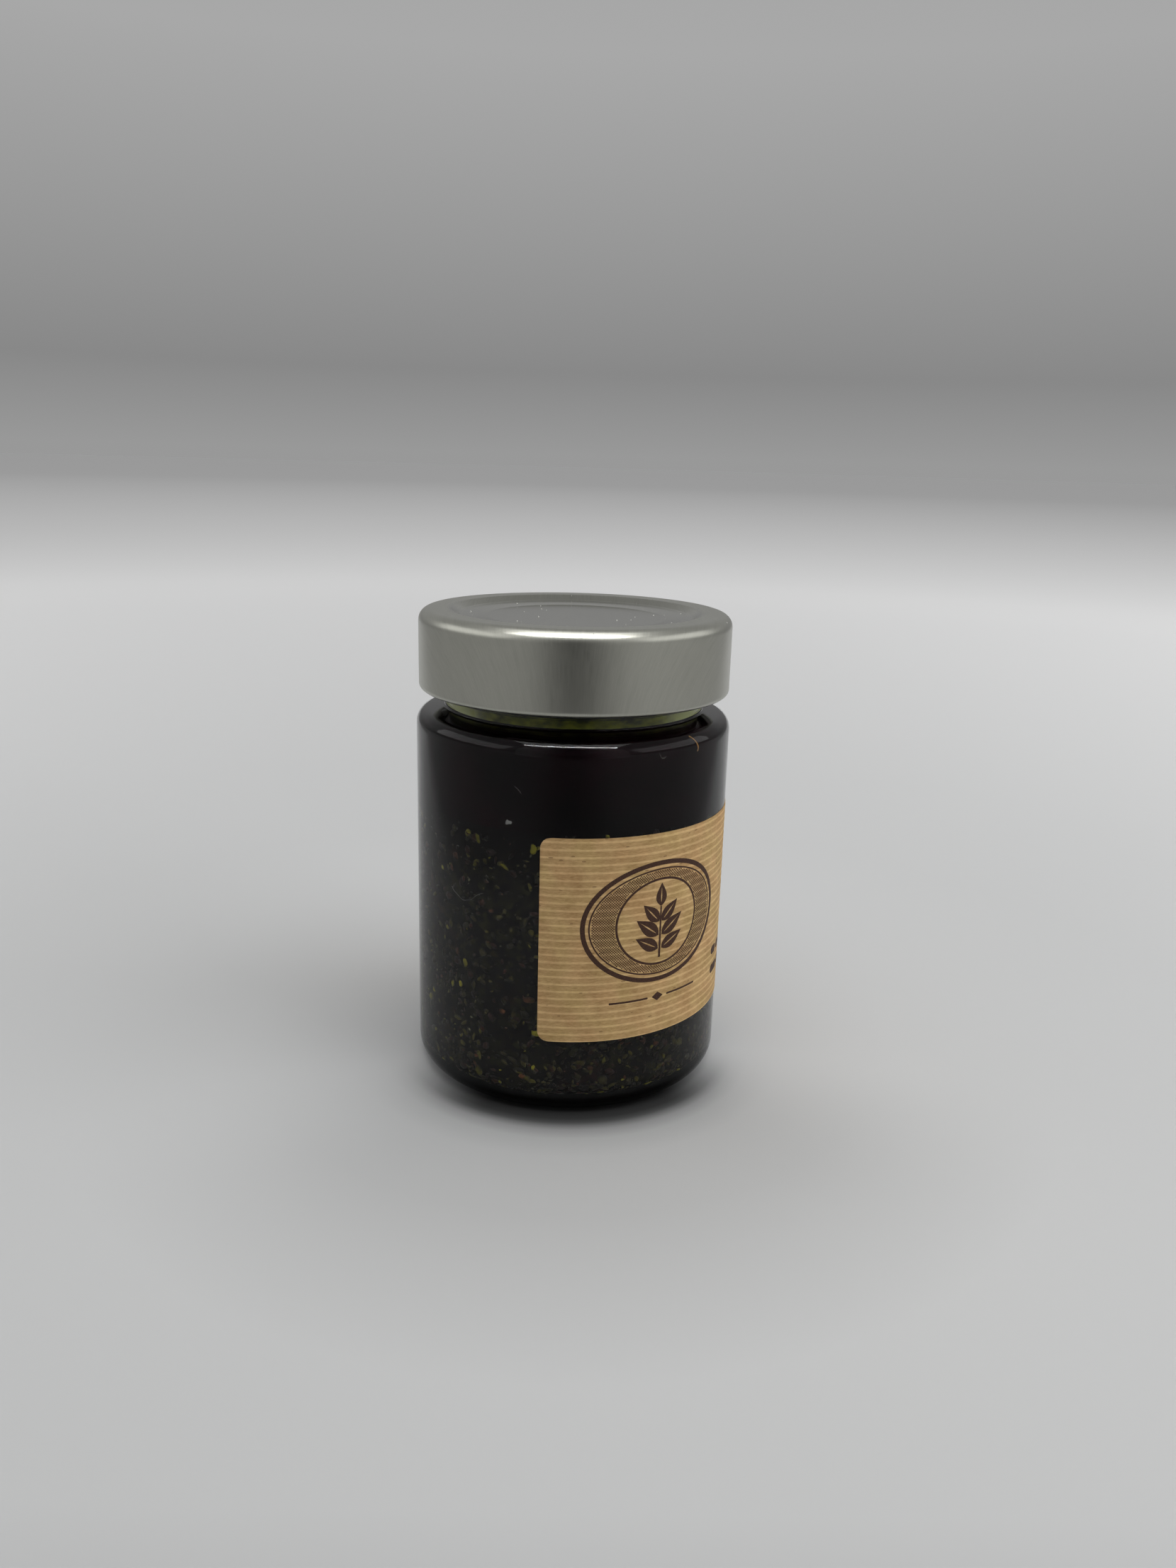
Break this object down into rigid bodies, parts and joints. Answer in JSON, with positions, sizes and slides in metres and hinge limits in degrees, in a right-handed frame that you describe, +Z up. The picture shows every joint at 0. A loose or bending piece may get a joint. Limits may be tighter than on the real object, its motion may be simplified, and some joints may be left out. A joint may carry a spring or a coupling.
{
  "type": "pesto jar",
  "caption": "Round straight-sided glass jar of chopped pesto under dark oil, with a deep metal twist-off lid and a wrapped kraft paper label.",
  "frame": {"origin": "centre of the base, on the surface the jar stands on", "axes": "+Z up along the jar's own axis; the label's leading edge is about 10 degrees left of -Y, and the label runs from there round to +X and behind"},
  "size_m": [0.0621, 0.0622, 0.0925],
  "materials": {
    "glass": "clear, polished, very faintly green",
    "lid_metal": "satin silver lacquer over brushed tinplate",
    "seal_compound": "smooth sealing compound",
    "dark_oil": "near-black herb oil, wet",
    "pesto": "chopped herbs and seeds in dark oil, wet",
    "kraft_paper": "ribbed kraft paper, printed dark brown"
  },
  "bodies": {
    "root": {"jar": "glass", "lid": "lid_metal", "seal_ring": "seal_compound", "oil": "dark_oil", "pesto": "pesto", "label": "kraft_paper"}
  },
  "joints": []
}
